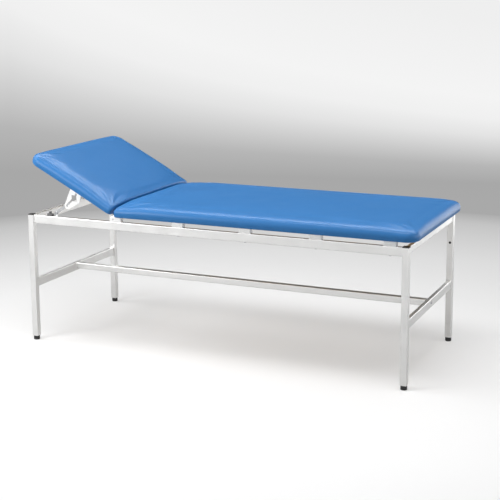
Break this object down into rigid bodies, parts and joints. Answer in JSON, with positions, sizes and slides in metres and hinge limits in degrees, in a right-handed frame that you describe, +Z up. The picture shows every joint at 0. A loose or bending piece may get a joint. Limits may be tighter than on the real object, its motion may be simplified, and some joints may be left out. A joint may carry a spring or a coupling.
{
  "type": "bariatric examination table",
  "caption": "Wide padded examination table with a welded steel frame, lower stretcher and a raising head section on a hinge with notched side stays.",
  "frame": {"origin": "on the floor, below the middle of the overall length and width", "axes": "+X along the table towards the foot end, +Y across it from the near side to the far side, +Z up"},
  "size_m": [1.936, 0.802, 0.9227],
  "materials": {
    "frame_coating": "satin",
    "bracket_coating": "satin",
    "white_plastic": "satin",
    "black_plastic": "matte",
    "insert_plastic": "matte",
    "buffer_rubber": "matte",
    "zinc_steel": "satin",
    "stay_steel": "satin",
    "plywood": "matte",
    "foam": "matte",
    "vinyl": "satin"
  },
  "bodies": {
    "frame": {"leg_head_near": "frame_coating", "leg_head_far": "frame_coating", "leg_foot_near": "frame_coating", "leg_foot_far": "frame_coating", "side_rail_near": "frame_coating", "side_rail_far": "frame_coating", "top_crossbar_head": "frame_coating", "top_crossbar_foot": "frame_coating", "lower_crossbar_head": "frame_coating", "lower_crossbar_foot": "frame_coating", "stretcher": "frame_coating", "stretcher_inserts": "insert_plastic", "stretcher_bolts": "zinc_steel", "leg_caps": "black_plastic", "foot_glides": "black_plastic", "hole_plugs": "black_plastic", "spacer_blocks_near": "white_plastic", "spacer_blocks_far": "white_plastic", "hinge_block_near": "white_plastic", "hinge_block_far": "white_plastic", "rail_screws": "zinc_steel", "hinge_block_screws": "zinc_steel", "rest_buffers": "buffer_rubber", "main_board": "plywood", "main_foam": "foam", "main_cover": "vinyl", "hinge_pins": "zinc_steel", "stay_lug_near": "stay_steel", "stay_lug_far": "stay_steel", "stay_rivets": "zinc_steel"},
    "head_section": {"head_board": "plywood", "head_foam": "foam", "head_cover": "vinyl", "hinge_leaf_near": "stay_steel", "hinge_leaf_far": "stay_steel", "leaf_screws": "zinc_steel", "head_bracket_near": "bracket_coating", "head_bracket_far": "bracket_coating", "bracket_screws": "zinc_steel"},
    "stay_near": {"stay_arm_near": "stay_steel", "catch_pin_near": "zinc_steel"},
    "stay_far": {"stay_arm_far": "stay_steel", "catch_pin_far": "zinc_steel"}
  },
  "joints": [
    {"name": "head_hinge", "type": "hinge", "parent": "frame", "child": "head_section", "pos_m": [-0.498, 0, 0.636], "axis": [0, 1, 0], "range_deg": [-27.5, 5]},
    {"name": "near_stay_pivot", "type": "hinge", "parent": "frame", "child": "stay_near", "pos_m": [-0.825, -0.3597, 0.638], "axis": [0, -1, 0], "range_deg": [-41.25, 7.5]},
    {"name": "far_stay_pivot", "type": "hinge", "parent": "frame", "child": "stay_far", "pos_m": [-0.825, 0.3597, 0.638], "axis": [0, -1, 0], "range_deg": [-41.25, 7.5]}
  ],
  "couplings": [
    {"joint": "near_stay_pivot", "follows": "head_hinge", "ratio": 1.5},
    {"joint": "far_stay_pivot", "follows": "head_hinge", "ratio": 1.5}
  ]
}
